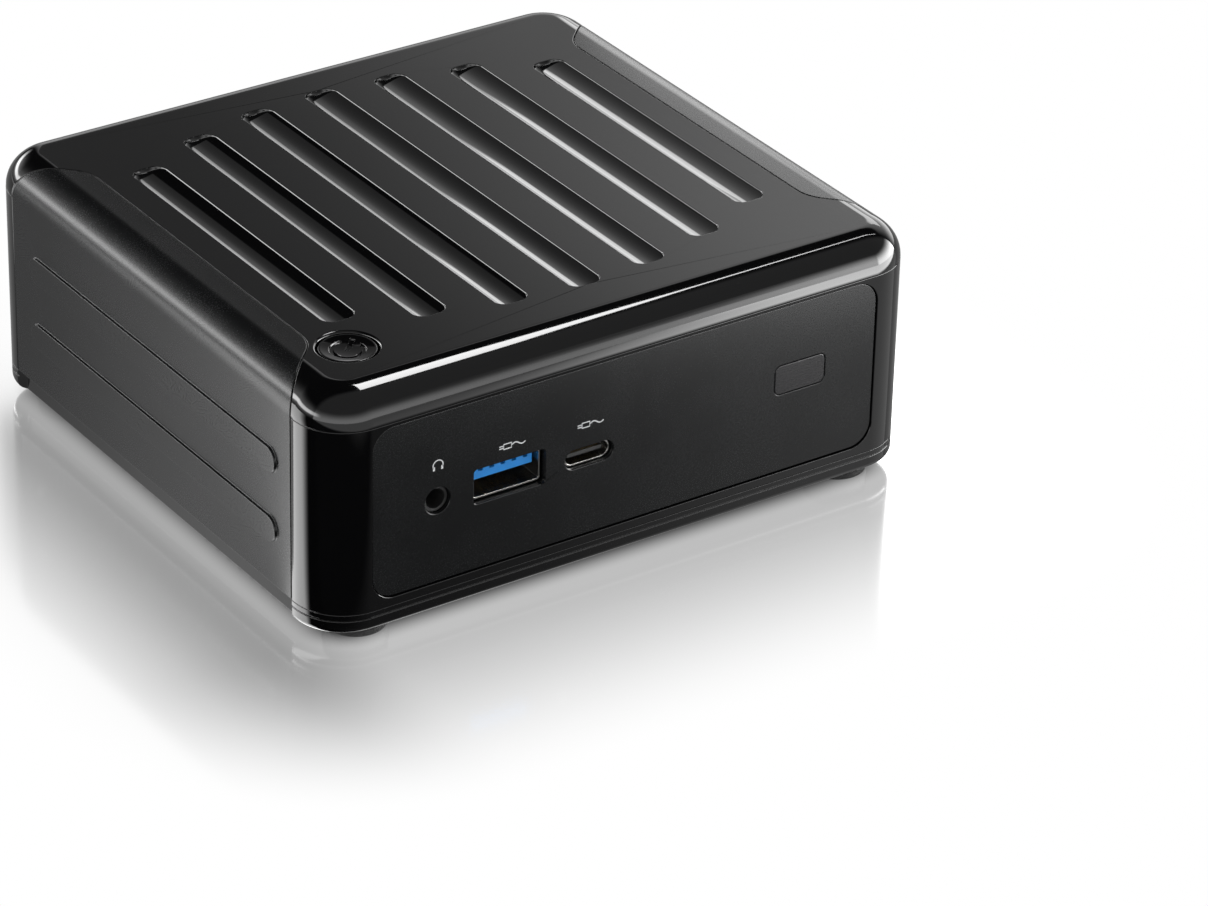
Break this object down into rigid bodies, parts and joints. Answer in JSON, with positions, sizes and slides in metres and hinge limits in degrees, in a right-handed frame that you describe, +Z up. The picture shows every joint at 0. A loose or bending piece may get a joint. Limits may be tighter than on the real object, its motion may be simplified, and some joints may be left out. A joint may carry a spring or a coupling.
{
  "type": "desktop computer",
  "caption": "Palm-sized square desktop computer with a ribbed satin and gloss black enclosure, front sockets, a top power button and an internal blower",
  "frame": {"origin": "on the table, under the middle of the enclosure", "axes": "+Z up, -Y out of the front with the user's sockets, +X to the right seen from the front"},
  "size_m": [0.1186, 0.11, 0.046],
  "materials": {
    "gloss_black_shell": "high-gloss black moulding",
    "satin_black_panel": "satin black moulding with a very fine texture",
    "smoked_window": "infrared-clear smoked plastic, satin",
    "black_rubber": "moulded rubber",
    "black_screw": "black zinc-plated steel",
    "zinc_screw": "zinc-plated steel",
    "zinc_sheet": "bare plated steel sheet",
    "circuit_board": "black solder mask on glass-epoxy",
    "black_connector_plastic": "moulded connector plastic",
    "blue_connector_plastic": "blue moulded connector plastic",
    "nickel_shell": "nickel-plated drawn sheet",
    "gold_contact": "gold-plated spring contact",
    "chip_package": "chip substrate with a bare silicon die",
    "copper": "bare copper",
    "copper_strip": "copper foil on film",
    "aluminium_fin": "bare aluminium fins",
    "fan_plastic": "glass-filled fan plastic",
    "bearing_bronze": "sintered bronze",
    "drive_aluminium": "cast and stamped aluminium",
    "cell_steel": "stamped stainless can",
    "black_steel_plate": "black powder coat on steel sheet"
  },
  "bodies": {
    "enclosure": {"antennas": "copper_strip", "bottom_cover": "gloss_black_shell", "bottom_cover_screws": "black_screw", "card_screws": "zinc_screw", "coin_cell": "cell_steel", "coin_cell_holder": "black_connector_plastic", "cold_plate": "copper", "display_socket": "nickel_shell", "drive_bracket": "zinc_sheet", "drive_connector": "black_connector_plastic", "drive_screws": "zinc_screw", "fan_bearing": "bearing_bronze", "fan_cover": "zinc_sheet", "fan_housing": "black_connector_plastic", "fan_stator": "copper", "fin_stack": "aluminium_fin", "foot_front_left": "black_rubber", "foot_front_right": "black_rubber", "foot_rear_left": "black_rubber", "foot_rear_right": "black_rubber", "front_panel": "satin_black_panel", "front_usb_a_contacts": "gold_contact", "front_usb_a_shell": "nickel_shell", "front_usb_a_tongue": "blue_connector_plastic", "front_usb_c_shell": "nickel_shell", "front_usb_c_tongue": "black_connector_plastic", "headset_contact": "gold_contact", "headset_jack": "black_connector_plastic", "heat_pipe": "copper", "heatsink_screws": "zinc_screw", "heatsink_springs": "zinc_screw", "ir_receiver": "black_connector_plastic", "ir_window": "smoked_window", "lan_socket": "nickel_shell", "mainboard": "circuit_board", "mainboard_screws": "zinc_screw", "memory_modules": "circuit_board", "memory_sockets": "black_connector_plastic", "mid_frame": "gloss_black_shell", "power_inlet": "black_connector_plastic", "power_switch_board": "circuit_board", "power_switch_body": "black_connector_plastic", "processor_package": "chip_package", "rear_plate": "black_steel_plate", "rear_usb_shell": "nickel_shell", "rear_usb_tongues": "blue_connector_plastic", "side_panel_left": "satin_black_panel", "side_panel_right": "satin_black_panel", "ssd_card": "circuit_board", "ssd_socket": "black_connector_plastic", "storage_drive": "drive_aluminium", "switch_board_screws": "zinc_screw", "top_cover": "gloss_black_shell", "video_socket": "nickel_shell", "wireless_card": "circuit_board", "wireless_socket": "black_connector_plastic"},
    "power_button_cap": {"power_button": "gloss_black_shell", "power_switch_plunger": "black_connector_plastic"},
    "fan_rotor": {"fan_impeller": "fan_plastic", "fan_shaft": "zinc_screw"}
  },
  "joints": [
    {"name": "power_button_press", "type": "slide", "parent": "enclosure", "child": "power_button_cap", "axis": [0, 0, -1], "range_m": [0, 0.0006], "stiffness_N_per_m": 300},
    {"name": "fan_spin", "type": "hinge", "parent": "enclosure", "child": "fan_rotor", "pos_m": [0.017, -0.002, 0.034], "axis": [0, 0, 1], "continuous": true}
  ]
}
